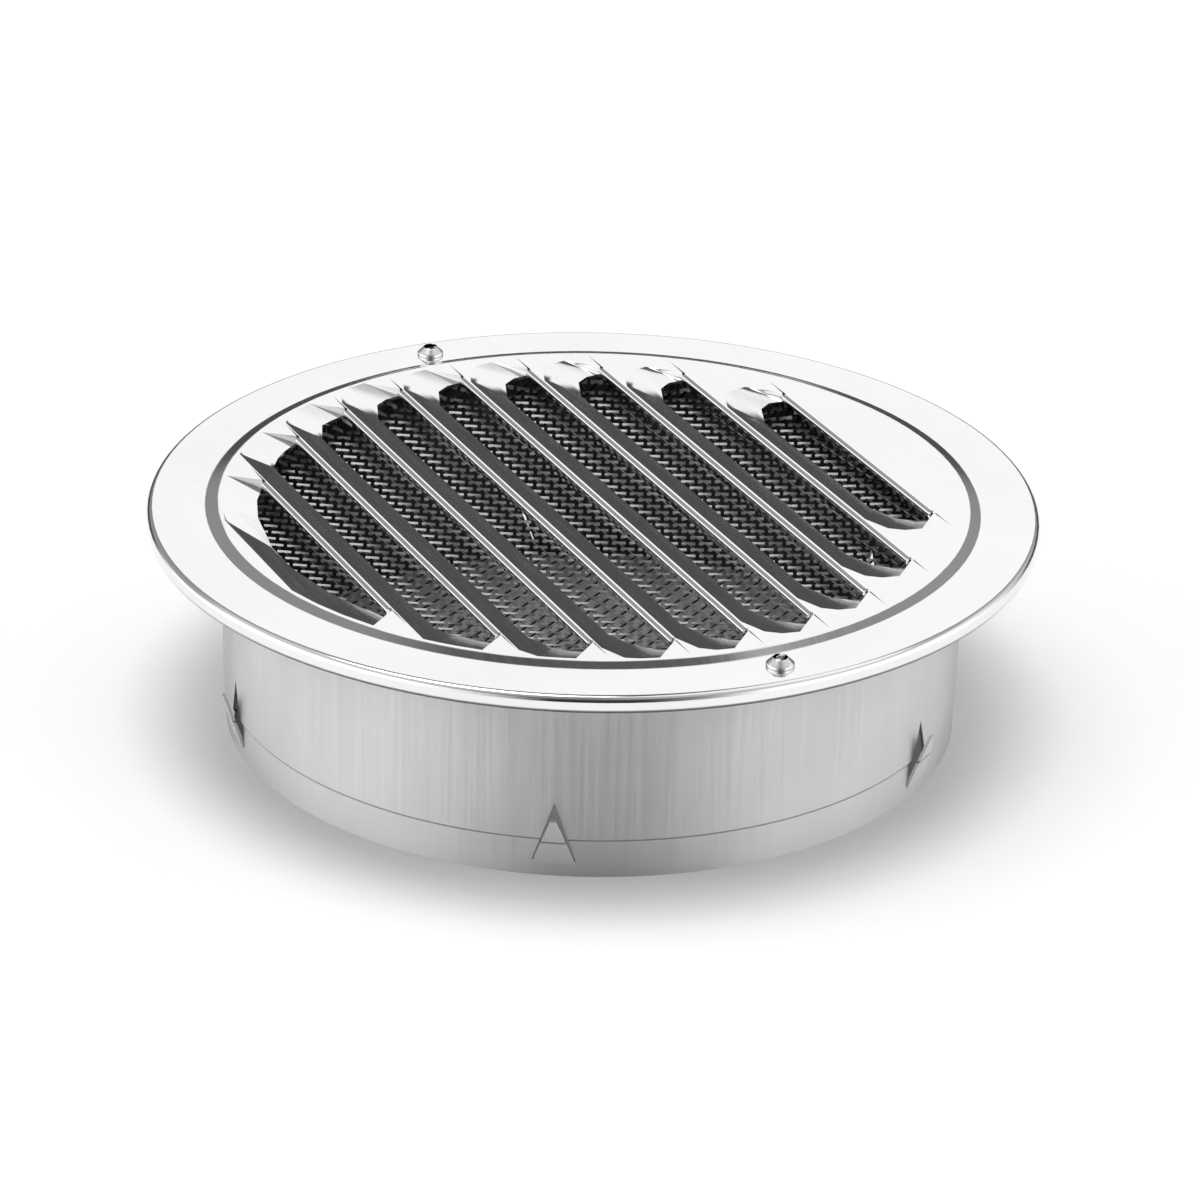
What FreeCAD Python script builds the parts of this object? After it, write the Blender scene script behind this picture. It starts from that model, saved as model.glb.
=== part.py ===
import FreeCAD, Part
import math
import os
import Sketcher

# Sizes in millimetres and degrees. Heights count up from the collar's foot.
SIZES = [
    ("sheet", 0.6, "thickness of the face plate"),
    ("face_height", 45.6, "collar's foot to the top of the flange"),
    ("flange_diameter", 178.0, "outside of the rolled rim"),
    ("rim_height", 3.7, "height of the rolled rim"),
    ("rim_radius", 1.4, "outside radius of the rim's two bends"),
    ("rim_return", 3.4, "rim's outside to the inner edge of its turned-in part"),
    ("ring_outer_diameter", 154.8, "foot of the step around the louvred panel"),
    ("ring_inner_diameter", 149.2, "top of the step around the louvred panel"),
    ("panel_rise", 0.6, "panel's height above the flange"),
    ("louvre_count", 9, "louvres across the panel"),
    ("louvre_pitch", 14.6, "lip to lip"),
    ("louvre_circle", 134.0, "circle on which the lips end"),
    ("opening_width", 8.4, "lip to the blade's free edge"),
    ("form_circle", 147.8, "circle that holds the pressed ends"),
    ("form_depth", 1.5, "depth of the blade's free edge under the panel"),
    ("lip_radius", 0.9, "outside radius of the lip's bend"),
    ("lip_flat", 0.3, "flat strip between the lip's bend and the blade's slope"),
    ("flap_angle", 52.0, "flap behind the lip, down from the panel"),
    ("flap_length", 5.2, "straight part of the flap"),
    ("slit_length", 7.0, "slit past each end of a lip"),
    ("slit_width", 0.4, "width of a slit at the lip's end"),
    ("slit_notch", 0.2, "length of the slit inside the lip's end"),
    ("collar_sheet", 0.6, "thickness of the collar"),
    ("collar_diameter", 148.0, "outside of the collar"),
    ("collar_flange_diameter", 169.0, "outside of the collar's flange"),
    ("collar_bend", 0.8, "ease at the inside of the collar's mouth"),
    ("foot_band", 7.4, "height of the narrower band at the foot"),
    ("foot_step", 0.4, "step in to the band at the foot"),
    ("foot_slope", 0.8, "height over which the step is made"),
    ("tab_count", 5, "spring tabs around the collar"),
    ("tab_pitch", 66.0, "angle from tab to tab"),
    ("tab_turn", -6.4, "turn of the row of tabs about the axis"),
    ("tab_base", 3.2, "height of a tab's root"),
    ("tab_width", 8.5, "width of a tab's window at its root"),
    ("tab_window", 12.6, "height of a tab's window"),
    ("tab_length", 10.4, "root to tip of a tab"),
    ("tab_gap", 0.3, "gap between a tab and its window"),
    ("tab_root", 0.4, "overlap of a tab with the band below it"),
    ("tab_proud", 0.25, "tab's root outside the band it grows from"),
    ("tab_lift", 16.5, "angle by which a tab stands out"),
    ("screen_sheet", 0.4, "thickness of the insect screen"),
    ("screen_rim_diameter", 158.0, "outside of the screen's clamped rim"),
    ("pan_mouth_diameter", 146.0, "screen's side wall at the rim"),
    ("pan_floor_diameter", 142.0, "screen's side wall at the floor"),
    ("pan_depth", 6.4, "rim to the floor"),
    ("mesh_circle", 132.0, "circle that holds the gaps"),
    ("mesh_long", 23.0, "long pitch of the diamonds"),
    ("mesh_short", 14.6, "short pitch of the diamonds"),
    ("mesh_strand", 2.2, "width of a strand"),
    ("mesh_turn", 154.3, "direction of the long pitch, from X"),
    ("screw_circle", 163.6, "circle of the two screws"),
    ("head_diameter", 5.4, "screw head"),
    ("head_height", 1.8, "screw head"),
    ("head_side", 0.6, "upright part of the head's side"),
    ("head_flat", 2.8, "flat top of the head"),
    ("shank_diameter", 2.9, "screw shank"),
    ("screw_length", 3.5, "under the head"),
    ("recess_span", 2.6, "cross recess, tip to tip"),
    ("recess_width", 0.7, "arm of the cross recess"),
    ("recess_depth", 1.0, "cross recess"),
    ("thread_play", 0.1, "hole in the collar's flange over the shank"),
    ("plate_play", 0.4, "hole in the face plate over the shank"),
]

# For each facet of a louvre's end, from the lip downwards: how far it leans inwards for its
# fall, and its shares of the opening's fall and of the pressed form's fall. A facet has the
# same lean on both outlines, so the sheet between them is flat.
END_FACETS = [(-1.0, 0.045, 0.42), (0.19, 0.36, 0.24), (0.75, 0.31, 0.19), (2.6, 0.285, 0.15)]

X_DIRECTION = FreeCAD.Vector(1, 0, 0)
Z_DIRECTION = FreeCAD.Vector(0, 0, 1)


class Size:
    """A number and the spreadsheet formula that gives it."""

    def __init__(self, value, text):
        self.value = value
        self.text = text

    def __add__(self, other):
        other = as_size(other)
        return Size(self.value + other.value, f"({self.text} + {other.text})")

    def __sub__(self, other):
        other = as_size(other)
        return Size(self.value - other.value, f"({self.text} - {other.text})")

    def __mul__(self, other):
        other = as_size(other)
        return Size(self.value * other.value, f"({self.text} * {other.text})")

    def __truediv__(self, other):
        other = as_size(other)
        return Size(self.value / other.value, f"({self.text} / {other.text})")

    def __neg__(self):
        return Size(-self.value, f"(0 - {self.text})")


def as_size(number):
    return number if isinstance(number, Size) else Size(number, repr(number))


def root(size):
    return Size(math.sqrt(size.value), f"sqrt({size.text})")


def sine(size):
    return Size(math.sin(math.radians(size.value)), f"sin({size.text})")


def cosine(size):
    return Size(math.cos(math.radians(size.value)), f"cos({size.text})")


def smaller(one, two):
    return Size(min(one.value, two.value), f"min({one.text}; {two.text})")


def chord(radius, offset):
    """Half the chord of a circle at an offset from its centre."""
    return root(radius * radius - offset * offset)


doc = FreeCAD.newDocument("round_vent_cover")
sheet_object = doc.addObject("Spreadsheet::Sheet", "sizes")
size = {}
for line, (name, number, note) in enumerate(SIZES, start=1):
    sheet_object.set(f"A{line}", name)
    sheet_object.set(f"B{line}", str(number))
    sheet_object.setAlias(f"B{line}", name)
    sheet_object.set(f"C{line}", note)
    size[name] = Size(number, f"sizes.{name}")
doc.recompute()

ZERO = as_size(0)
DIAGONAL = root(as_size(0.5))


def new_body(name):
    body = doc.addObject("PartDesign::Body", name)
    body.Label = name
    return body


def new_sketch(body, name, role):
    sketch = body.newObject("Sketcher::SketchObject", name)
    support = [part for part in body.Origin.OriginFeatures if part.Role == role][0]
    sketch.AttachmentSupport = [(support, "")]
    sketch.MapMode = "FlatFace"
    return sketch


def lift(sketch, height):
    """Moves a sketch along its own normal."""
    sketch.AttachmentOffset = FreeCAD.Placement(FreeCAD.Vector(0, 0, height.value), FreeCAD.Rotation())
    sketch.setExpression("AttachmentOffset.Base.z", height.text)


def pin(sketch, kind, geometry, point, distance):
    """Fixes one coordinate of a sketch point."""
    if distance.text == ZERO.text:
        axis = -2 if kind == "DistanceX" else -1
        sketch.addConstraint(Sketcher.Constraint("PointOnObject", geometry, point, axis))
        return
    index = sketch.addConstraint(Sketcher.Constraint(kind, -1, 1, geometry, point, distance.value))
    sketch.setExpression(f"Constraints[{index}]", distance.text)


def arc_between(start, end, radius, side):
    """Arc with its centre right (1) or left (-1) of the way from start to end."""
    run = end - start
    across = FreeCAD.Vector(run.y, -run.x, 0).normalize()
    reach = math.sqrt(max(radius * radius - run.Length ** 2 / 4, 0))
    centre = (start + end) * 0.5 + across * (reach * side)
    first, last = (end, start) if side > 0 else (start, end)
    angles = [math.atan2((point - centre).y, (point - centre).x) for point in (first, last)]
    return Part.ArcOfCircle(Part.Circle(centre, Z_DIRECTION, radius), *angles)


def outline(sketch, corners, bends):
    """Closed outline through corners; bends gives the radius and side of each curved edge."""
    edges = []
    for index, (x, y) in enumerate(corners):
        next_x, next_y = corners[(index + 1) % len(corners)]
        start = FreeCAD.Vector(x.value, y.value, 0)
        end = FreeCAD.Vector(next_x.value, next_y.value, 0)
        if index not in bends:
            edges.append((sketch.addGeometry(Part.LineSegment(start, end)), 1, 2))
            continue
        radius, side = bends[index]
        points = (2, 1) if side > 0 else (1, 2)
        edges.append((sketch.addGeometry(arc_between(start, end, radius.value, side)), *points))
    for index, (geometry, first, last) in enumerate(edges):
        follower, follower_first, _ = edges[(index + 1) % len(edges)]
        sketch.addConstraint(Sketcher.Constraint("Coincident", geometry, last, follower, follower_first))
        pin(sketch, "DistanceX", geometry, first, corners[index][0])
        pin(sketch, "DistanceY", geometry, first, corners[index][1])
        if index in bends:
            radius = bends[index][0]
            constraint = sketch.addConstraint(Sketcher.Constraint("Radius", geometry, radius.value))
            sketch.setExpression(f"Constraints[{constraint}]", radius.text)


def circle(sketch, x, y, radius):
    centre = FreeCAD.Vector(x.value, y.value, 0)
    geometry = sketch.addGeometry(Part.Circle(centre, Z_DIRECTION, radius.value))
    pin(sketch, "DistanceX", geometry, 3, x)
    pin(sketch, "DistanceY", geometry, 3, y)
    index = sketch.addConstraint(Sketcher.Constraint("Radius", geometry, radius.value))
    sketch.setExpression(f"Constraints[{index}]", radius.text)


def bend_point(centre_x, centre_y, radius, side):
    """Middle of a quarter bend above (1) or below (-1) its centre, which is made of two straight facets."""
    reach = radius * DIAGONAL
    return centre_x + reach, centre_y + reach * side


def revolve(body, name, corners):
    sketch = new_sketch(body, f"{name}_profile", "XZ_Plane")
    outline(sketch, corners, {})
    feature = body.newObject("PartDesign::Revolution", name)
    feature.Profile = sketch
    feature.ReferenceAxis = (sketch, ["V_Axis"])
    feature.Angle = 360
    return feature


def cut_up(body, name, sketch):
    """Cuts a sketch of the XY plane upward through the whole body."""
    feature = body.newObject("PartDesign::Pocket", name)
    feature.Profile = sketch
    feature.Type = "ThroughAll"
    feature.Reversed = True
    return feature


def loft(body, kind, name, sketches):
    feature = body.newObject(f"PartDesign::{kind}", name)
    feature.Profile = sketches[0]
    feature.Sections = sketches[1:]
    feature.Ruled = True
    return feature


def screw_holes(body, name, turn, play):
    """Two round holes on the screw circle, turned about the axis."""
    sketch = new_sketch(body, f"{name}_centres", "XY_Plane")
    radius = size["screw_circle"] / 2
    x = radius * cosine(turn)
    y = radius * sine(turn) if turn.value else ZERO
    hole = (size["shank_diameter"] + play) / 2
    circle(sketch, x, y, hole)
    circle(sketch, -x, -y if turn.value else ZERO, hole)
    return cut_up(body, name, sketch)


flange_top = size["face_height"]
flange_under = flange_top - size["sheet"]
panel_top = flange_top + size["panel_rise"]
collar_top = flange_under - size["screen_sheet"]
flange_radius = size["flange_diameter"] / 2
louvre_radius = size["louvre_circle"] / 2
form_radius = size["form_circle"] / 2


def plate_sheet(body):
    """Panel, step, flange and rolled rim as one turned sheet."""
    thick = size["sheet"]
    bend = size["rim_radius"]
    bend_start = flange_radius - bend
    rim_foot = flange_top - size["rim_height"]
    return_edge = flange_radius - size["rim_return"]
    step_out = size["ring_outer_diameter"] / 2
    step_in = size["ring_inner_diameter"] / 2
    upper = flange_top - bend
    lower = rim_foot + bend
    corners = [
        (ZERO, panel_top),
        (step_in, panel_top),
        (step_out, flange_top),
        (bend_start, flange_top),
        bend_point(bend_start, upper, bend, 1),
        (flange_radius, upper),
        (flange_radius, lower),
        bend_point(bend_start, lower, bend, -1),
        (bend_start, rim_foot),
        (return_edge, rim_foot),
        (return_edge, rim_foot + thick),
        (flange_radius - thick, rim_foot + thick),
        (flange_radius - thick, flange_under),
        (step_out, flange_under),
        (step_in, panel_top - thick),
        (ZERO, panel_top - thick),
    ]
    revolve(body, "plate_sheet", corners)


def louvre_lines(number):
    """Lip height in plan and half the lip's length for one louvre."""
    steps = (size["louvre_count"] - 1) / 2 - number
    lip = size["louvre_pitch"] * steps
    return lip, chord(louvre_radius, lip)


def mirrored(right):
    """Closed outline from the points of its right half, top to foot."""
    return [(-right[0][0], right[0][1])] + right + [(-x, y) for x, y in right[:0:-1]]


def end_outline(start, top, fall, share, limit):
    """Outline that turns round at both ends by the facets of a louvre's end and stays inside a circle."""
    right = [(start, top)]
    reach, level = start, top
    for facet in END_FACETS:
        drop = fall * facet[share]
        reach, level = reach - drop * facet[0], level - drop
        right.append((smaller(reach, chord(limit, level)), level))
    return mirrored(right)


def form_edge(number):
    """Outline of a pressed form on the panel."""
    lip, half = louvre_lines(number)
    return end_outline(half, lip + size["lip_radius"], size["louvre_pitch"] - size["lip_flat"], 2, form_radius)


def free_edge(number):
    """Outline of the opening that a blade's free edge bounds."""
    lip, half = louvre_lines(number)
    fall = size["opening_width"] + size["lip_radius"]
    return end_outline(half - size["slit_width"], lip + size["lip_radius"], fall, 1, louvre_radius)


def pressed_form(body, number):
    """Sunk blade with scooped ends: the sheet is shaped below, then hollowed from above."""
    thick = size["sheet"]
    depth = size["form_depth"]
    levels = {
        "under": (form_edge, panel_top - thick),
        "under_edge": (free_edge, panel_top - thick - depth),
        "upper": (form_edge, panel_top),
        "upper_edge": (free_edge, panel_top - depth),
        "through": (free_edge, panel_top - depth - thick * 2),
    }
    sketches = {}
    for name, (edge, height) in levels.items():
        sketches[name] = new_sketch(body, f"louvre_{number}_{name}", "XY_Plane")
        outline(sketches[name], edge(number), {})
        lift(sketches[name], height)
    loft(body, "AdditiveLoft", f"louvre_{number}_form", [sketches["under"], sketches["under_edge"]])
    hollow = [sketches["upper"], sketches["upper_edge"], sketches["through"]]
    loft(body, "SubtractiveLoft", f"louvre_{number}_hollow", hollow)


def lip_end(half):
    """Half the length of a lip, which is cut free from the opening's end by a slit's width."""
    return half - size["slit_width"] * 2


def lip_flap(body, number):
    """Rounded lip and the flap that turns back behind it."""
    lip, half = louvre_lines(number)
    outer = size["lip_radius"]
    inner = outer - size["sheet"]
    across, down = cosine(size["flap_angle"]), sine(size["flap_angle"])
    centre_y = lip + outer
    centre_z = panel_top - outer
    outer_y, outer_z = centre_y - outer * down, centre_z - outer * across
    tip_y, tip_z = outer_y + size["flap_length"] * across, outer_z - size["flap_length"] * down
    corners = [
        (centre_y, panel_top),
        (outer_y, outer_z),
        (tip_y, tip_z),
        (tip_y + size["sheet"] * down, tip_z + size["sheet"] * across),
        (centre_y - inner * down, centre_z - inner * across),
        (centre_y, panel_top - size["sheet"]),
    ]
    sketch = new_sketch(body, f"louvre_{number}_lip_profile", "YZ_Plane")
    outline(sketch, corners, {0: (outer, -1), 4: (inner, 1)})
    feature = body.newObject("PartDesign::Pad", f"louvre_{number}_lip")
    feature.Profile = sketch
    feature.SideType = "Symmetric"
    feature.setExpression("Length", (lip_end(half) * 2).text)


def slits(body):
    """Thin tapered slits that run on from both ends of every lip."""
    sketch = new_sketch(body, "slit_outlines", "XY_Plane")
    for number in range(int(size["louvre_count"].value)):
        lip, half = louvre_lines(number)
        line = lip + size["lip_radius"]
        start = lip_end(half) - size["slit_notch"]
        tip = half + size["slit_length"]
        high = line + size["slit_width"] / 4
        low = high - size["slit_width"]
        outline(sketch, [(start, high), (tip, line), (start, low)], {})
        outline(sketch, [(-start, high), (-start, low), (-tip, line)], {})
    cut_up(body, "slits", sketch)


def make_face_plate():
    body = new_body("face_plate")
    plate_sheet(body)
    slits(body)
    for number in range(int(size["louvre_count"].value)):
        pressed_form(body, number)
        lip_flap(body, number)
    screw_holes(body, "plate_screw_holes", ZERO, size["plate_play"])
    return body


def make_collar():
    body = new_body("duct_collar")
    thick = size["collar_sheet"]
    outside = size["collar_diameter"] / 2
    inside = outside - thick
    step = size["foot_step"]
    bend = size["collar_bend"]
    band = size["foot_band"]
    above = band + size["foot_slope"]
    edge = size["collar_flange_diameter"] / 2
    corners = [
        (inside - step, ZERO),
        (outside - step, ZERO),
        (outside - step, band),
        (outside, above),
        (outside, collar_top - thick),
        (edge, collar_top - thick),
        (edge, collar_top),
        (inside + bend, collar_top),
        (inside, collar_top - bend),
        (inside, above),
        (inside - step, band),
    ]
    revolve(body, "collar_sheet_form", corners)
    spring_tabs(body, inside - step + size["tab_proud"])
    screw_holes(body, "collar_screw_holes", -size["tab_turn"], size["thread_play"])
    body.Placement = FreeCAD.Placement(FreeCAD.Vector(), Z_DIRECTION, size["tab_turn"].value)
    body.setExpression("Placement.Rotation.Angle", size["tab_turn"].text)
    return body


def spring_tabs(body, seat):
    """Pointed tabs lanced out of the wall, rooted at the foot."""
    half = size["tab_width"] / 2
    base = size["tab_base"]
    window = new_sketch(body, "tab_window_outline", "XZ_Plane")
    outline(window, [(-half, base), (half, base), (ZERO, base + size["tab_window"])], {})
    cut = body.newObject("PartDesign::Pocket", "tab_window_cut")
    cut.Profile = window
    cut.Reversed = True
    cut.setExpression("Length", size["collar_diameter"].text)

    root_half = half - size["tab_gap"]
    tip_half = half * (as_size(1) - size["tab_length"] / size["tab_window"]) - size["tab_gap"]
    blade = new_sketch(body, "tab_outline", "XZ_Plane")
    corners = [
        (-root_half, -size["tab_root"]),
        (-root_half, ZERO),
        (-tip_half, size["tab_length"]),
        (tip_half, size["tab_length"]),
        (root_half, ZERO),
        (root_half, -size["tab_root"]),
    ]
    outline(blade, corners, {})
    blade.AttachmentOffset = FreeCAD.Placement(
        FreeCAD.Vector(0, base.value, seat.value),
        FreeCAD.Rotation(X_DIRECTION, size["tab_lift"].value))
    blade.setExpression("AttachmentOffset.Base.y", base.text)
    blade.setExpression("AttachmentOffset.Base.z", seat.text)
    blade.setExpression("AttachmentOffset.Rotation.Angle", size["tab_lift"].text)
    tab = body.newObject("PartDesign::Pad", "tab")
    tab.Profile = blade
    tab.setExpression("Length", size["collar_sheet"].text)

    row = body.newObject("PartDesign::PolarPattern", "tab_row")
    row.Originals = [cut, tab]
    row.Axis = (window, ["V_Axis"])
    row.setExpression("Angle", (size["tab_pitch"] * (size["tab_count"] - 1)).text)
    row.setExpression("Occurrences", size["tab_count"].text)
    body.Tip = row


def make_screen():
    """Shallow pan of expanded mesh with a flat rim."""
    pan = new_body("screen_pan")
    thick = size["screen_sheet"]
    mouth = size["pan_mouth_diameter"] / 2
    floor = size["pan_floor_diameter"] / 2
    rim = size["screen_rim_diameter"] / 2
    floor_level = collar_top - size["pan_depth"]
    corners = [
        (ZERO, floor_level + thick),
        (floor - thick, floor_level + thick),
        (mouth - thick, collar_top + thick),
        (rim, collar_top + thick),
        (rim, collar_top),
        (mouth, collar_top),
        (floor, floor_level),
        (ZERO, floor_level),
    ]
    revolve(pan, "pan_form", corners)

    gaps = doc.addObject("Part::Feature", "mesh_gap_outlines")
    gaps.Shape = mesh_gaps()
    prisms = doc.addObject("Part::Extrusion", "mesh_gap_prisms")
    prisms.Base = gaps
    prisms.DirMode = "Custom"
    prisms.Dir = Z_DIRECTION
    prisms.Solid = True
    prisms.setExpression("LengthFwd", collar_top.text)
    screen = doc.addObject("Part::Cut", "insect_screen")
    screen.Base = pan
    screen.Tool = prisms
    return screen


def mesh_gaps():
    """Diamond gaps in half-offset rows, all inside the mesh circle."""
    half_long = size["mesh_long"].value / 2
    half_short = size["mesh_short"].value / 2
    side_reach = half_long * half_short / math.hypot(half_long, half_short)
    shrink = 1 - size["mesh_strand"].value / 2 / side_reach
    turn = FreeCAD.Rotation(Z_DIRECTION, size["mesh_turn"].value)
    limit = size["mesh_circle"].value / 2
    rows = int(limit / half_long) + 1
    columns = int(limit / half_short) + 1
    faces = []
    for row in range(-rows, rows + 1):
        for column in range(-columns, columns + 1):
            if (row + column) % 2:
                continue
            corners = []
            for along, aside in ((1, 0), (0, 1), (-1, 0), (0, -1)):
                point = FreeCAD.Vector(
                    half_long * (row + along * shrink), half_short * (column + aside * shrink), 0)
                corners.append(turn.multVec(point))
            if max(corner.Length for corner in corners) < limit:
                faces.append(Part.Face(Part.makePolygon(corners + corners[:1])))
    return Part.makeCompound(faces)


def make_screws():
    """Two cross-recess pan-head screws as one group of solids."""
    body = new_body("screw")
    shank = size["shank_diameter"] / 2
    head = size["head_diameter"] / 2
    length = size["screw_length"]
    height = size["head_height"]
    corners = [
        (ZERO, -length),
        (ZERO, height),
        (size["head_flat"] / 2, height),
        (head, size["head_side"]),
        (head, ZERO),
        (shank, ZERO),
        (shank, -length),
    ]
    revolve(body, "screw_form", corners)
    recess = new_sketch(body, "recess_outline", "XY_Plane")
    arm = size["recess_span"] / 2
    half = size["recess_width"] / 2
    outline(recess, [
        (-arm, half), (-half, half), (-half, arm), (half, arm), (half, half), (arm, half),
        (arm, -half), (half, -half), (half, -arm), (-half, -arm), (-half, -half), (-arm, -half)], {})
    lift(recess, height)
    cut = body.newObject("PartDesign::Pocket", "recess")
    cut.Profile = recess
    cut.setExpression("Length", size["recess_depth"].text)
    seat = FreeCAD.Vector(size["screw_circle"].value / 2, 0, flange_top.value)
    body.Placement = FreeCAD.Placement(seat, FreeCAD.Rotation())
    body.setExpression("Placement.Base.x", (size["screw_circle"] / 2).text)
    body.setExpression("Placement.Base.z", flange_top.text)
    other = doc.addObject("Part::Mirroring", "other_screw")
    other.Source = body
    other.Normal = X_DIRECTION
    pair = doc.addObject("Part::Compound", "cover_screws")
    pair.Links = [body, other]
    return pair


pieces = {
    "face_plate": make_face_plate(),
    "duct_collar": make_collar(),
    "insect_screen": make_screen(),
    "cover_screws": make_screws(),
}
doc.recompute()

for item in doc.Objects:
    if "Invalid" in item.State or "Error" in item.State:
        raise RuntimeError(f"{item.Name} did not build: {item.State}")

os.makedirs("parts", exist_ok=True)
for node, piece in pieces.items():
    piece.Label = node
    shape = piece.Shape
    if shape.isNull() or not shape.isValid():
        raise RuntimeError(f"{node} has no valid shape")
    shape.exportStep(f"parts/{node}.step")
    print(node, len(shape.Solids), "solids", len(shape.Faces), "faces", round(shape.Volume, 1), "mm3")
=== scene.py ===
import math

import bmesh
import bpy
from mathutils import Matrix, Vector


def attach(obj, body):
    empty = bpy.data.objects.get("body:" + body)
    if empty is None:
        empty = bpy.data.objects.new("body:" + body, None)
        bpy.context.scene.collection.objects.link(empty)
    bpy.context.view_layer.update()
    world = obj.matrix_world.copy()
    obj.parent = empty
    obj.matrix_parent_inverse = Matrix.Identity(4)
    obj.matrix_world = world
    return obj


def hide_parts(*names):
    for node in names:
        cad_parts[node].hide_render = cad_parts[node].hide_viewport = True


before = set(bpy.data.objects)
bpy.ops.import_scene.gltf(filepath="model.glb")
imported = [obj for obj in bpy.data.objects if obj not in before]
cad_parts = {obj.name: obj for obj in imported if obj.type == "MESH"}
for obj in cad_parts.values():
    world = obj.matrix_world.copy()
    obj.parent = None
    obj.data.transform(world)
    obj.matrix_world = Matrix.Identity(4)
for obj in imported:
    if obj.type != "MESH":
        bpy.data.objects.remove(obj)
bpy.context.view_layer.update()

MM = 0.001
UP = Vector((0, 0, 1))

# Heights and radii of the solids that the finished pieces follow.
PANEL_TOP = 46.2 * MM
PANEL_UNDER = 45.6 * MM
PANEL_EDGE = 74.6 * MM
FLANGE_TOP = 45.6 * MM
FLANGE_UNDER = 45.0 * MM
STEP_FOOT = 77.4 * MM
RIM_OUT = 89.0 * MM
RIM_BEND = 1.4 * MM
RIM_FOOT = 41.9 * MM
RIM_RETURN = 85.6 * MM
SHEET = 0.6 * MM
COLLAR_STEP = 7.85 * MM

# Points this close to a height or radius lie on it.
NEAR = 0.01 * MM

# Direction of the photograph: its right side and its depth, in the plane of the panel.
VIEW_TURN = math.radians(64.3)
ACROSS = Vector((math.cos(VIEW_TURN), math.sin(VIEW_TURN), 0))
AWAY = Vector((-math.sin(VIEW_TURN), math.cos(VIEW_TURN), 0))


# Materials

def new_group(name, inputs, outputs):
    group = bpy.data.node_groups.new(name, "ShaderNodeTree")
    for label, kind, start in inputs:
        socket = group.interface.new_socket(label, in_out="INPUT", socket_type=kind)
        if start is not None:
            socket.default_value = start
    for label, kind in outputs:
        group.interface.new_socket(label, in_out="OUTPUT", socket_type=kind)
    return group, group.nodes.new("NodeGroupInput"), group.nodes.new("NodeGroupOutput")


def noise(nodes, scale, detail, roughness):
    node = nodes.new("ShaderNodeTexNoise")
    node.inputs["Scale"].default_value = scale
    node.inputs["Detail"].default_value = detail
    node.inputs["Roughness"].default_value = roughness
    return node


def spread(nodes):
    """Stretches the middle of a noise, where nearly all of it lies, to a full range."""
    node = nodes.new("ShaderNodeMapRange")
    node.inputs["From Min"].default_value = 0.3
    node.inputs["From Max"].default_value = 0.7
    return node


def grain_group():
    """Fine polishing lines: a stretched noise as height and as a roughness."""
    group, entry, leave = new_group(
        "polish_grain",
        [("Vector", "NodeSocketVector", None), ("Smooth", "NodeSocketFloat", 0.15),
         ("Rough", "NodeSocketFloat", 0.3)],
        [("Height", "NodeSocketFloat"), ("Roughness", "NodeSocketFloat")])
    lines = noise(group.nodes, scale=1.0, detail=4.0, roughness=0.65)
    group.links.new(entry.outputs["Vector"], lines.inputs["Vector"])
    group.links.new(lines.outputs["Fac"], leave.inputs["Height"])
    level = spread(group.nodes)
    group.links.new(lines.outputs["Fac"], level.inputs["Value"])
    group.links.new(entry.outputs["Smooth"], level.inputs["To Min"])
    group.links.new(entry.outputs["Rough"], level.inputs["To Max"])
    group.links.new(level.outputs["Result"], leave.inputs["Roughness"])
    return group


def haze_group():
    """Soft cloudy handling marks that shade the metal a little."""
    group, entry, leave = new_group(
        "handling_haze",
        [("Vector", "NodeSocketVector", None), ("Clean", "NodeSocketColor", (0.8, 0.8, 0.8, 1)),
         ("Hazy", "NodeSocketColor", (0.7, 0.7, 0.7, 1))],
        [("Color", "NodeSocketColor")])
    clouds = noise(group.nodes, scale=28.0, detail=3.0, roughness=0.55)
    group.links.new(entry.outputs["Vector"], clouds.inputs["Vector"])
    share = spread(group.nodes)
    group.links.new(clouds.outputs["Fac"], share.inputs["Value"])
    mix = group.nodes.new("ShaderNodeMix")
    mix.data_type = "RGBA"
    group.links.new(share.outputs["Result"], mix.inputs["Factor"])
    group.links.new(entry.outputs["Clean"], mix.inputs["A"])
    group.links.new(entry.outputs["Hazy"], mix.inputs["B"])
    group.links.new(mix.outputs["Result"], leave.inputs["Color"])
    return group


GRAIN = grain_group()
HAZE = haze_group()
GRAIN_STRENGTH = 0.25
QUARTER_TURN = 0.25


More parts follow.
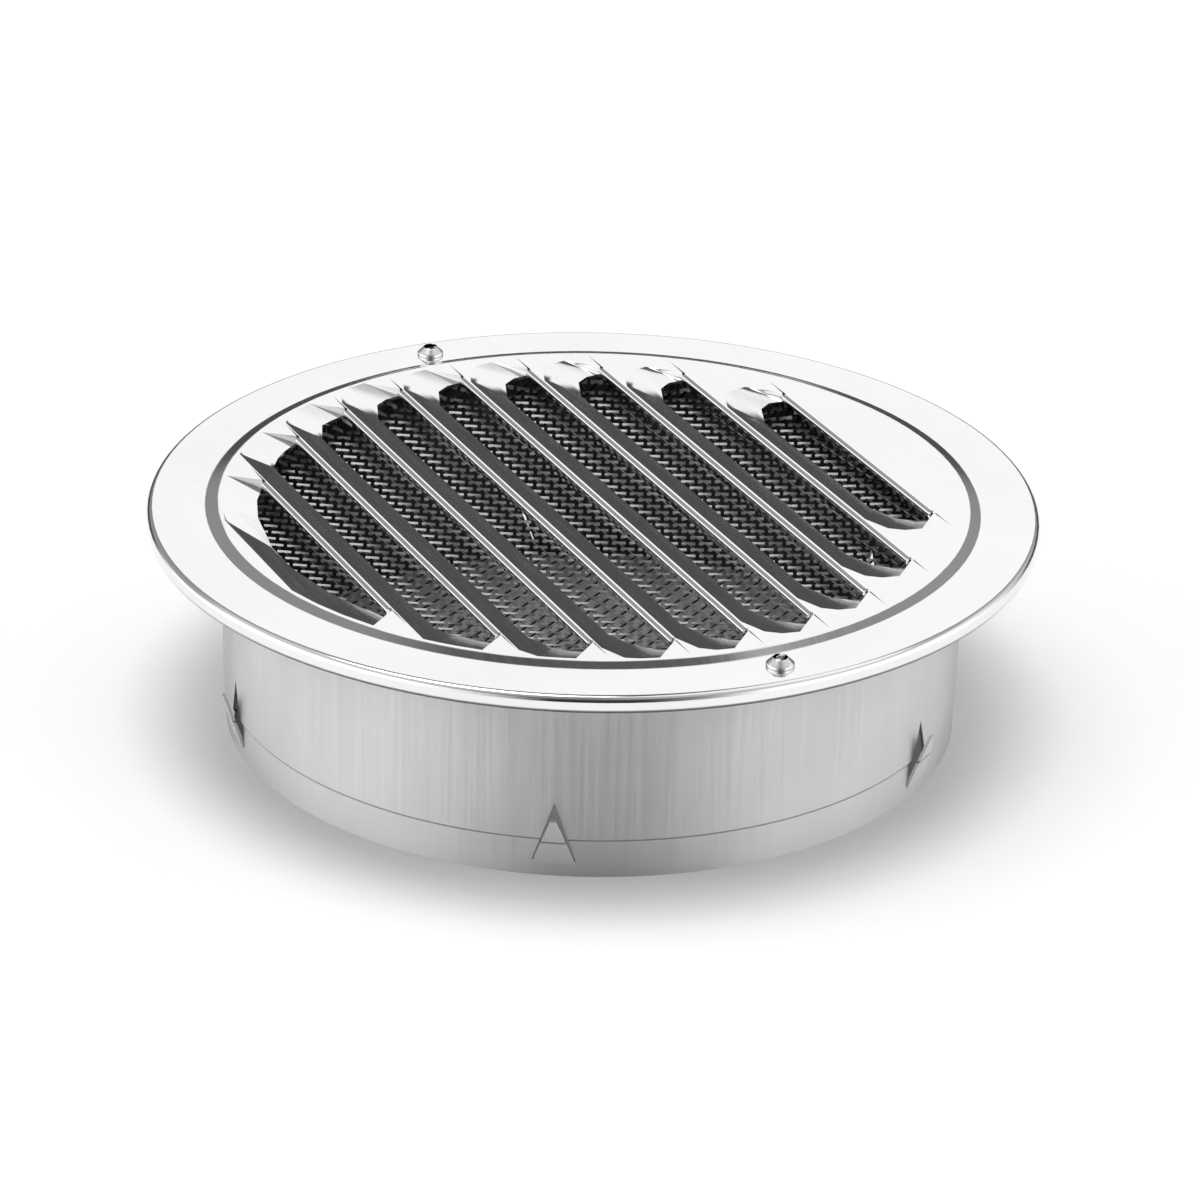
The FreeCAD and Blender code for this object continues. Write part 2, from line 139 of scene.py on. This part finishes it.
def steel(name, clean, hazy, smooth, rough, grain_scale, grain_depth, stretched=0.0):
    """Stainless steel with polishing lines along one direction and a light haze."""
    material = bpy.data.materials.new(name)
    material.use_nodes = True
    nodes, links = material.node_tree.nodes, material.node_tree.links
    shader = nodes["Principled BSDF"]
    shader.inputs["Metallic"].default_value = 1.0
    place = nodes.new("ShaderNodeTexCoord")
    stretch = nodes.new("ShaderNodeMapping")
    stretch.inputs["Scale"].default_value = grain_scale
    links.new(place.outputs["Object"], stretch.inputs["Vector"])
    grain = nodes.new("ShaderNodeGroup")
    grain.node_tree = GRAIN
    grain.inputs["Smooth"].default_value = smooth
    grain.inputs["Rough"].default_value = rough
    links.new(stretch.outputs["Vector"], grain.inputs["Vector"])
    haze = nodes.new("ShaderNodeGroup")
    haze.node_tree = HAZE
    haze.inputs["Clean"].default_value = (*clean, 1)
    haze.inputs["Hazy"].default_value = (*hazy, 1)
    links.new(place.outputs["Object"], haze.inputs["Vector"])
    bump = nodes.new("ShaderNodeBump")
    bump.inputs["Strength"].default_value = GRAIN_STRENGTH
    bump.inputs["Distance"].default_value = grain_depth
    links.new(grain.outputs["Height"], bump.inputs["Height"])
    links.new(haze.outputs["Color"], shader.inputs["Base Color"])
    links.new(grain.outputs["Roughness"], shader.inputs["Roughness"])
    links.new(bump.outputs["Normal"], shader.inputs["Normal"])
    if stretched:
        shader.inputs["Anisotropic"].default_value = stretched
        shader.inputs["Anisotropic Rotation"].default_value = QUARTER_TURN
        round_axis = nodes.new("ShaderNodeTangent")
        round_axis.direction_type = "RADIAL"
        round_axis.axis = "Z"
        links.new(round_axis.outputs["Tangent"], shader.inputs["Tangent"])
    return material


def mix_painted_shade(material, share, shade):
    """Mixes painted shade into the steel's colour, by a share that changes over the surface."""
    nodes, links = material.node_tree.nodes, material.node_tree.links
    finish = nodes["Principled BSDF"].inputs["Base Color"]
    bright = finish.links[0].from_socket
    mix = nodes.new("ShaderNodeMix")
    mix.data_type = "RGBA"
    mix.inputs["B"].default_value = (*shade, 1)
    links.new(share, mix.inputs["Factor"])
    links.new(bright, mix.inputs["A"])
    links.new(mix.outputs["Result"], finish)


def paint_shade_turned_away(material, start, end, shade, outward=None):
    """Painted shade: a dark colour on faces turned from outward, or towards the axis where none is
    given.
    """
    nodes, links = material.node_tree.nodes, material.node_tree.links
    place = nodes.new("ShaderNodeTexCoord")
    facing = nodes.new("ShaderNodeVectorMath")
    facing.operation = "DOT_PRODUCT"
    if outward is None:
        links.new(place.outputs["Object"], facing.inputs[0])
    else:
        facing.inputs[0].default_value = outward
    links.new(place.outputs["Normal"], facing.inputs[1])
    painted_shade_share = nodes.new("ShaderNodeMapRange")
    painted_shade_share.inputs["From Min"].default_value = start
    painted_shade_share.inputs["From Max"].default_value = end
    links.new(facing.outputs["Value"], painted_shade_share.inputs["Value"])
    mix_painted_shade(material, painted_shade_share.outputs["Result"], shade)


def paint_step_shade(material, height, reach, shade):
    """Painted shade: a thin dark line in the step above the foot."""
    nodes, links = material.node_tree.nodes, material.node_tree.links
    place = nodes.new("ShaderNodeTexCoord")
    level = nodes.new("ShaderNodeSeparateXYZ")
    links.new(place.outputs["Object"], level.inputs["Vector"])
    near = nodes.new("ShaderNodeMath")
    near.operation = "COMPARE"
    near.inputs[1].default_value = height
    near.inputs[2].default_value = reach
    links.new(level.outputs["Z"], near.inputs[0])
    mix_painted_shade(material, near.outputs["Value"], shade)


def paint_strand_shade(material, shade):
    """Painted shade: the mesh's thin strands are coloured darker than its bonds."""
    shade_amount = material.node_tree.nodes.new("ShaderNodeAttribute")
    shade_amount.attribute_name = "painted_strand_shade"
    mix_painted_shade(material, shade_amount.outputs["Fac"], shade)


PLATE_STEEL = steel(
    "plate_steel", clean=(0.86, 0.86, 0.865), hazy=(0.82, 0.82, 0.83), smooth=0.07, rough=0.14,
    grain_scale=(60, 900, 60), grain_depth=0.01 * MM)
# Painted shade on faces turned downward, such as under the rolled rim.
paint_shade_turned_away(PLATE_STEEL, start=-0.15, end=-0.4, shade=(0.16, 0.16, 0.165), outward=UP)

COLLAR_STEEL = steel(
    "collar_steel", clean=(0.8, 0.8, 0.81), hazy=(0.72, 0.72, 0.735), smooth=0.5, rough=0.62,
    grain_scale=(1500, 1500, 18), grain_depth=0.02 * MM, stretched=0.9)
# Painted shade: a dark line along the step above the foot.
paint_step_shade(COLLAR_STEEL, height=COLLAR_STEP, reach=0.22 * MM, shade=(0.34, 0.34, 0.35))
# Painted shade on the collar's inner face.
paint_shade_turned_away(COLLAR_STEEL, start=-0.05, end=-0.065, shade=(0.13, 0.13, 0.135))

SCREEN_STEEL = steel(
    "screen_steel", clean=(0.75, 0.75, 0.76), hazy=(0.64, 0.64, 0.65), smooth=0.36, rough=0.5,
    grain_scale=(700, 700, 700), grain_depth=0.01 * MM)
# Painted shade on the mesh's strands.
paint_strand_shade(SCREEN_STEEL, shade=(0.07, 0.07, 0.073))

SCREW_STEEL = steel(
    "screw_steel", clean=(0.84, 0.84, 0.85), hazy=(0.76, 0.76, 0.775), smooth=0.18, rough=0.32,
    grain_scale=(1200, 1200, 1200), grain_depth=0.01 * MM)


# Tools for the pieces

SKIN_WELD = 0.001 * MM


def place_piece(name, work, material, node):
    mesh = bpy.data.meshes.new(name)
    work.to_mesh(mesh)
    work.free()
    mesh.materials.append(material)
    piece = bpy.data.objects.new(name, mesh)
    bpy.context.scene.collection.objects.link(piece)
    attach(piece, "root")
    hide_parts(node)
    return piece


def solid_copy(node):
    """The node's own triangles, joined into one skin."""
    work = bmesh.new()
    work.from_mesh(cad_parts[node].data)
    bmesh.ops.remove_doubles(work, verts=work.verts, dist=SKIN_WELD)
    return work


def no_crease(line, angle):
    return False


def soften(work, crease_angle, is_crease=no_crease):
    """Smooth shading that breaks at sharp edges and at the creases that are named."""
    for face in work.faces:
        face.smooth = True
    for edge in work.edges:
        if len(edge.link_faces) == 2:
            angle = edge.calc_face_angle()
            edge.smooth = angle < crease_angle and not is_crease(edge, angle)


def weigh_normals(piece):
    weigh = piece.modifiers.new("flat faces stay flat", "WEIGHTED_NORMAL")
    weigh.keep_sharp = True
    weigh.mode = "FACE_AREA"


def outline_edges(work, points):
    """An open row of edges through points in the XZ plane."""
    corners = [work.verts.new((radius, 0, height)) for radius, height in points]
    edges = [work.edges.new(pair) for pair in zip(corners, corners[1:])]
    return corners + edges


def bend(centre_x, centre_z, radius, start, end, steps):
    """Points round a bend, between two angles in degrees."""
    points = []
    for step in range(steps + 1):
        angle = math.radians(start + (end - start) * step / steps)
        points.append((centre_x + radius * math.cos(angle), centre_z + radius * math.sin(angle)))
    return points


def turn(work, geometry, steps):
    bmesh.ops.spin(
        work, geom=geometry, cent=(0, 0, 0), axis=UP, angle=math.tau, steps=steps, use_merge=True)


# Face plate

STEP_EASE = 0.5 * MM
STEP_DROP = 0.05 * MM
OUTER_STEPS = 8
INNER_STEPS = 5
PLATE_WELD = 0.02 * MM
PRESS_CREASE = math.radians(9)
PLATE_CREASE = math.radians(50)


def rim_outline():
    """Section of the step, the flange and the rolled rim, over the top and back underneath."""
    bend_x = RIM_OUT - RIM_BEND
    upper_z = FLANGE_TOP - RIM_BEND
    lower_z = RIM_FOOT + RIM_BEND
    inner = RIM_BEND - SHEET
    points = [(PANEL_EDGE, PANEL_TOP), (PANEL_EDGE + STEP_EASE, PANEL_TOP - STEP_DROP)]
    points += [(STEP_FOOT - STEP_EASE, FLANGE_TOP + STEP_DROP), (STEP_FOOT, FLANGE_TOP)]
    points += bend(bend_x, upper_z, RIM_BEND, 90, 0, OUTER_STEPS)
    points += bend(bend_x, lower_z, RIM_BEND, 0, -90, OUTER_STEPS)
    points += [(RIM_RETURN, RIM_FOOT), (RIM_RETURN, RIM_FOOT + SHEET)]
    points += bend(bend_x, lower_z, inner, -90, 0, INNER_STEPS)
    points += bend(bend_x, upper_z, inner, 0, 90, INNER_STEPS)
    points += [(STEP_FOOT, FLANGE_UNDER), (PANEL_EDGE, PANEL_UNDER)]
    return points


def is_press_line(line, angle):
    """Where the louvres leave the flat of the panel, above or underneath."""
    heights = [vert.co.z for vert in line.verts]
    on_top = min(heights) > PANEL_TOP - NEAR
    underneath = max(heights) < PANEL_UNDER + NEAR and min(heights) > PANEL_UNDER - NEAR
    in_panel = line.verts[0].co.xy.length < PANEL_EDGE - NEAR
    return (on_top or underneath) and angle > PRESS_CREASE and in_panel


def face_plate():
    """Louvred panel from the solid, inside a turned ring with a full round rim."""
    work = solid_copy("face_plate")
    outer = [face for face in work.faces if face.calc_center_median().xy.length > PANEL_EDGE + NEAR]
    bmesh.ops.delete(work, geom=outer, context="FACES")
    edge = [vert for vert in work.verts
            if abs(vert.co.xy.length - PANEL_EDGE) < NEAR and vert.co.z > PANEL_TOP - NEAR]
    turn(work, outline_edges(work, rim_outline()), len(edge))
    bmesh.ops.remove_doubles(work, verts=work.verts, dist=PLATE_WELD)
    bmesh.ops.recalc_face_normals(work, faces=work.faces)
    soften(work, PLATE_CREASE, is_press_line)
    piece = place_piece("face_plate_sheet", work, PLATE_STEEL, "face_plate")
    weigh_normals(piece)


# Duct collar

COLLAR_CREASE = math.radians(20)


def duct_collar():
    """The collar and its tabs from the solid, shaded round."""
    work = solid_copy("duct_collar")
    soften(work, COLLAR_CREASE)
    piece = place_piece("duct_collar_sheet", work, COLLAR_STEEL, "duct_collar")
    weigh_normals(piece)


# Insect screen

# Spacing of the mesh's bonds along a row, and of its rows.
MESH_ALONG = 3.47 * MM
MESH_DEPTH = 2.97 * MM
BOND = Vector((2.7, 0.6, 0.3)) * MM
BOND_TILT = math.radians(20)
SLIM_STRAND = Vector((0.2, 3.2, 0.2)) * MM
BROAD_STRAND = Vector((0.36, 3.2, 0.24)) * MM
STRAND_LEAN = math.atan2(MESH_ALONG / 2, MESH_DEPTH)
STRAND_ROLL = math.radians(55)
STRAND_DROP = 0.1 * MM

# The mesh is cut round, dished, and folded up where it meets the rim.
MESH_EDGE = 74.8 * MM
MESH_FOLD = 69.6 * MM
MESH_LEVEL = 39.9 * MM
MESH_DISH = 2.4 * MM
FOLD_INWARD = 0.58
FOLD_UPWARD = 0.9

# Section of the screen's flat rim, as radius and height in millimetres.
SCREEN_RIM = [
    (71.3, 44.2), (72.0, 44.6), (79.0, 44.6), (79.0, 45.0), (71.8, 45.0), (71.0, 44.6), (71.3, 44.2)]
SCREEN_STEPS = 144
SCREEN_WELD = 0.005 * MM
SCREEN_CREASE = math.radians(30)


def mesh_cell(work):
    """One bond of the expanded mesh with the two strands that lead to the next row."""
    # Each strand carries its share of painted shade for the screen's material.
    painted_strand_shade = work.verts.layers.float.new("painted_strand_shade")
    bond = bmesh.ops.create_cube(work, size=1.0)["verts"]
    bmesh.ops.scale(work, vec=BOND, verts=bond)
    bmesh.ops.rotate(work, verts=bond, matrix=Matrix.Rotation(BOND_TILT, 3, "X"))
    for side, size, shade_amount in ((-1, SLIM_STRAND, 0.5), (1, BROAD_STRAND, 1.0)):
        strand = bmesh.ops.create_cube(work, size=1.0)["verts"]
        bmesh.ops.scale(work, vec=size, verts=strand)
        bmesh.ops.rotate(work, verts=strand, matrix=Matrix.Rotation(STRAND_ROLL * side, 3, "Y"))
        bmesh.ops.rotate(work, verts=strand, matrix=Matrix.Rotation(-STRAND_LEAN * side, 3, "Z"))
        bmesh.ops.translate(
            work, vec=(MESH_ALONG / 4 * side, MESH_DEPTH / 2, -STRAND_DROP), verts=strand)
        for vert in strand:
            vert[painted_strand_shade] = shade_amount


def repeat(work, start, steps):
    """Copies of a row of geometry at each step."""
    made = list(start)
    for step in steps:
        copy = bmesh.ops.duplicate(work, geom=start)["geom"]
        corners = [part for part in copy if isinstance(part, bmesh.types.BMVert)]
        bmesh.ops.translate(work, vec=step, verts=corners)
        made += copy
    return made


def flat_mesh():
    """A round sheet of the mesh, turned so that its rows lie across the photograph."""
    work = bmesh.new()
    mesh_cell(work)
    columns = int(MESH_EDGE / MESH_ALONG) + 1
    rows = int(MESH_EDGE / MESH_DEPTH / 2) + 1
    cell = work.verts[:] + work.edges[:] + work.faces[:]
    row = repeat(work, cell, [
        Vector((MESH_ALONG * step, 0, 0)) for step in range(-columns, columns + 1) if step])
    pair = repeat(work, row, [Vector((MESH_ALONG / 2, MESH_DEPTH, 0))])
    repeat(work, pair, [
        Vector((0, MESH_DEPTH * 2 * step, 0)) for step in range(-rows, rows + 1) if step])
    outside = [vert for vert in work.verts if vert.co.xy.length > MESH_EDGE]
    bmesh.ops.delete(work, geom=outside, context="VERTS")
    bmesh.ops.rotate(work, verts=work.verts, matrix=Matrix.Rotation(VIEW_TURN, 3, "Z"))
    return work


def dish(work):
    """Sinks the middle of the mesh and folds its edge up."""
    for vert in work.verts:
        reach = vert.co.xy.length
        climb = max(reach - MESH_FOLD, 0)
        share = min(reach / MESH_FOLD, 1)
        vert.co.xy *= (reach - climb * FOLD_INWARD) / max(reach, MM)
        vert.co.z += MESH_LEVEL - MESH_DISH * (1 - share * share) + climb * FOLD_UPWARD


def screen_rim():
    """The flat rim that the plate and the collar hold between them, as a mesh to join."""
    ring = bmesh.new()
    section = [(radius * MM, height * MM) for radius, height in SCREEN_RIM]
    turn(ring, outline_edges(ring, section), SCREEN_STEPS)
    bmesh.ops.remove_doubles(ring, verts=ring.verts, dist=SCREEN_WELD)
    bmesh.ops.recalc_face_normals(ring, faces=ring.faces)
    soften(ring, SCREEN_CREASE)
    mesh = bpy.data.meshes.new("screen_rim")
    ring.to_mesh(mesh)
    ring.free()
    return mesh


def insect_screen():
    """Fine expanded mesh, dished and folded up at its edge to a plain flat rim."""
    work = flat_mesh()
    dish(work)
    rim = screen_rim()
    work.from_mesh(rim)
    bpy.data.meshes.remove(rim)
    place_piece("insect_screen_mesh", work, SCREEN_STEEL, "insect_screen")


# Cover screws

SCREW_FLAT = math.radians(1)
SCREW_EDGE = math.radians(25)
SCREW_BEVEL = 0.12 * MM
SCREW_CREASE = math.radians(65)


def cover_screws():
    """Both screws from the solids, with their edges broken."""
    work = solid_copy("cover_screws")
    bmesh.ops.dissolve_limit(work, angle_limit=SCREW_FLAT, verts=work.verts, edges=work.edges)
    sharp = [edge for edge in work.edges
             if len(edge.link_faces) == 2 and edge.calc_face_angle() > SCREW_EDGE]
    bmesh.ops.bevel(
        work, geom=sharp, offset=SCREW_BEVEL, offset_type="OFFSET", affect="EDGES", segments=3,
        profile=0.5, material=-1)
    soften(work, SCREW_CREASE)
    place_piece("cover_screw_pair", work, SCREW_STEEL, "cover_screws")


face_plate()
duct_collar()
insect_screen()
cover_screws()


# Floor

FLOOR_SIZE = 8.0
FLOOR_COLOUR = (0.86, 0.86, 0.86, 1)
FLOOR_GLOW = 0.36
# Painted shadow round the part: the floor's glow is none inside the first radius and full past the
# second.
PAINTED_SHADOW_CORE = 74 * MM
PAINTED_SHADOW_REACH = 100 * MM


def larger(nodes, links, first, second):
    node = nodes.new("ShaderNodeMath")
    node.operation = "MAXIMUM"
    links.new(first, node.inputs[0])
    links.new(second, node.inputs[1])
    return node.outputs["Value"]


def floor_material():
    """Pale floor that glows a little where it is seen or mirrored, with a painted shadow: no glow
    under the part.
    """
    material = bpy.data.materials.new("pale_floor")
    material.use_nodes = True
    nodes, links = material.node_tree.nodes, material.node_tree.links
    shader = nodes["Principled BSDF"]
    shader.inputs["Base Color"].default_value = FLOOR_COLOUR
    shader.inputs["Roughness"].default_value = 0.7
    shader.inputs["Specular IOR Level"].default_value = 0.1
    shader.inputs["Emission Color"].default_value = (1, 1, 1, 1)
    path = nodes.new("ShaderNodeLightPath")
    seen = larger(nodes, links, path.outputs["Is Camera Ray"], path.outputs["Is Glossy Ray"])
    shown = larger(nodes, links, seen, path.outputs["Is Transmission Ray"])
    place = nodes.new("ShaderNodeTexCoord")
    distance = nodes.new("ShaderNodeVectorMath")
    distance.operation = "LENGTH"
    links.new(place.outputs["Object"], distance.inputs[0])
    # Painted shadow: the glow fades out towards the part.
    glow_past_painted_shadow = nodes.new("ShaderNodeMapRange")
    glow_past_painted_shadow.interpolation_type = "SMOOTHSTEP"
    glow_past_painted_shadow.inputs["From Min"].default_value = PAINTED_SHADOW_CORE
    glow_past_painted_shadow.inputs["From Max"].default_value = PAINTED_SHADOW_REACH
    glow_past_painted_shadow.inputs["To Min"].default_value = 0.0
    glow_past_painted_shadow.inputs["To Max"].default_value = FLOOR_GLOW
    links.new(distance.outputs["Value"], glow_past_painted_shadow.inputs["Value"])
    glow = nodes.new("ShaderNodeMath")
    glow.operation = "MULTIPLY"
    links.new(shown, glow.inputs[0])
    links.new(glow_past_painted_shadow.outputs["Result"], glow.inputs[1])
    links.new(glow.outputs["Value"], shader.inputs["Emission Strength"])
    return material


def pale_floor():
    work = bmesh.new()
    bmesh.ops.create_grid(work, x_segments=1, y_segments=1, size=FLOOR_SIZE)
    mesh = bpy.data.meshes.new("floor")
    work.to_mesh(mesh)
    work.free()
    mesh.materials.append(floor_material())
    floor = bpy.data.objects.new("floor", mesh)
    bpy.context.scene.collection.objects.link(floor)


# Studio walls

# Brightness round the part in four bands, one above another. A stop is degrees to the right of
# straight behind the part, and a level.
LOW_BAND = [
    (-180, 0.03), (-170, 0.03), (-150, 0.9), (-120, 1.7), (-60, 1.3), (-40, 0.07),
    (42, 0.07), (62, 1), (128, 1.6), (150, 0.4), (166, 0.03), (180, 0.03)]
MIDDLE_BAND = [
    (-180, 0.03), (-170, 0.03), (-150, 0.8), (-130, 1.4), (-75, 1.2), (-55, 0.35),
    (-10, 0.25), (-7.5, 1), (12.3, 1), (13.5, 0.25), (20, 0.3),
    (70, 1), (128, 1.4), (150, 0.3), (166, 0.03), (180, 0.03)]
HIGH_BAND = [
    (-180, 0.1), (-165, 0.1), (-120, 0.6), (-40, 0.6), (-20, 0.26),
    (7.5, 0.26), (9, 1), (13, 1), (14.5, 0.26), (20, 0.26),
    (60, 0.5), (120, 0.6), (160, 0.1), (180, 0.1)]
TOP_BAND = [
    (-180, 0.2), (-120, 0.6), (-40, 0.6), (-20, 0.08),
    (16, 0.1), (22, 1), (60, 1), (120, 0.6), (180, 0.2)]

# Heights in degrees over which each band gives way to the next.
MIDDLE_BEGINS = (13, 18)
HIGH_BEGINS = (34, 42)
TOP_BEGINS = (46, 51)

# A ramp's colours stay under 1, so levels go in halved.
RAMP_SHARE = 0.5
STUDIO_STRENGTH = 2.2


def studio_world():
    """Dark and bright studio walls for the steel to mirror."""
    world = bpy.data.worlds.new("studio")
    bpy.context.scene.world = world
    world.use_nodes = True
    nodes, links = world.node_tree.nodes, world.node_tree.links
    back = nodes["Background"]
    place = nodes.new("ShaderNodeTexCoord")

    def reach(direction):
        node = nodes.new("ShaderNodeVectorMath")
        node.operation = "DOT_PRODUCT"
        node.inputs[1].default_value = direction
        links.new(place.outputs["Generated"], node.inputs[0])
        return node.outputs["Value"]

    turn_angle = nodes.new("ShaderNodeMath")
    turn_angle.operation = "ARCTAN2"
    links.new(reach(ACROSS), turn_angle.inputs[0])
    links.new(reach(AWAY), turn_angle.inputs[1])
    around = nodes.new("ShaderNodeMapRange")
    around.inputs["From Min"].default_value = -math.pi
    around.inputs["From Max"].default_value = math.pi
    links.new(turn_angle.outputs["Value"], around.inputs["Value"])
    height = reach(UP)

    def band(stops):
        node = nodes.new("ShaderNodeValToRGB")
        bar = node.color_ramp
        while len(bar.elements) < len(stops):
            bar.elements.new(0.5)
        for element, (degrees, level) in zip(bar.elements, stops):
            grey = level * RAMP_SHARE
            element.position = (degrees + 180) / 360
            element.color = (grey, grey, grey, 1)
        links.new(around.outputs["Result"], node.inputs["Fac"])
        return node.outputs["Color"]

    def above(lower, upper, heights):
        """One band over another, with a soft change between two heights."""
        start, end = heights
        share = nodes.new("ShaderNodeMapRange")
        share.interpolation_type = "SMOOTHSTEP"
        share.inputs["From Min"].default_value = math.sin(math.radians(start))
        share.inputs["From Max"].default_value = math.sin(math.radians(end))
        links.new(height, share.inputs["Value"])
        mix = nodes.new("ShaderNodeMix")
        mix.data_type = "RGBA"
        links.new(share.outputs["Result"], mix.inputs["Factor"])
        links.new(lower, mix.inputs["A"])
        links.new(upper, mix.inputs["B"])
        return mix.outputs["Result"]

    light = above(band(LOW_BAND), band(MIDDLE_BAND), MIDDLE_BEGINS)
    light = above(light, band(HIGH_BAND), HIGH_BEGINS)
    light = above(light, band(TOP_BAND), TOP_BEGINS)
    links.new(light, back.inputs["Color"])
    back.inputs["Strength"].default_value = STUDIO_STRENGTH


# Lamp and camera

OVERHEAD_PLACE = ACROSS * -0.35 + UP * 1.5 + AWAY * 0.2
OVERHEAD_SIZE = 0.9
OVERHEAD_POWER = 4.5


def overhead_light():
    """One soft round lamp above the part, aimed at its foot."""
    lamp = bpy.data.lights.new("overhead", "AREA")
    lamp.shape = "DISK"
    lamp.size = OVERHEAD_SIZE
    lamp.energy = OVERHEAD_POWER
    aim = (-OVERHEAD_PLACE).to_track_quat("-Z", "Y").to_matrix().to_4x4()
    light = bpy.data.objects.new("overhead", lamp)
    light.matrix_world = Matrix.Translation(OVERHEAD_PLACE) @ aim
    bpy.context.scene.collection.objects.link(light)


CAMERA_LENS = 151.5
SENSOR_WIDTH = 36.0
CAMERA_ELEVATION = math.radians(25.254)
CAMERA_ROLL = math.radians(1.25)
CAMERA_PLACE = ACROSS * (1.7 * MM) - AWAY * (918.6 * MM) + UP * (456.8 * MM)


def photo_camera():
    """Camera where the photograph was taken from."""
    lens = bpy.data.cameras.new("camera")
    lens.sensor_fit = "HORIZONTAL"
    lens.sensor_width = SENSOR_WIDTH
    lens.lens = CAMERA_LENS
    lens.clip_start = 0.05
    level_up = AWAY * math.sin(CAMERA_ELEVATION) + UP * math.cos(CAMERA_ELEVATION)
    right = ACROSS * math.cos(CAMERA_ROLL) + level_up * math.sin(CAMERA_ROLL)
    upward = level_up * math.cos(CAMERA_ROLL) - ACROSS * math.sin(CAMERA_ROLL)
    backward = UP * math.sin(CAMERA_ELEVATION) - AWAY * math.cos(CAMERA_ELEVATION)
    aim = Matrix((right, upward, backward)).transposed().to_4x4()
    camera = bpy.data.objects.new("camera", lens)
    camera.matrix_world = Matrix.Translation(CAMERA_PLACE) @ aim
    bpy.context.scene.collection.objects.link(camera)
    bpy.context.scene.camera = camera


pale_floor()
studio_world()
overhead_light()
photo_camera()
bpy.context.scene.view_settings.view_transform = "Standard"
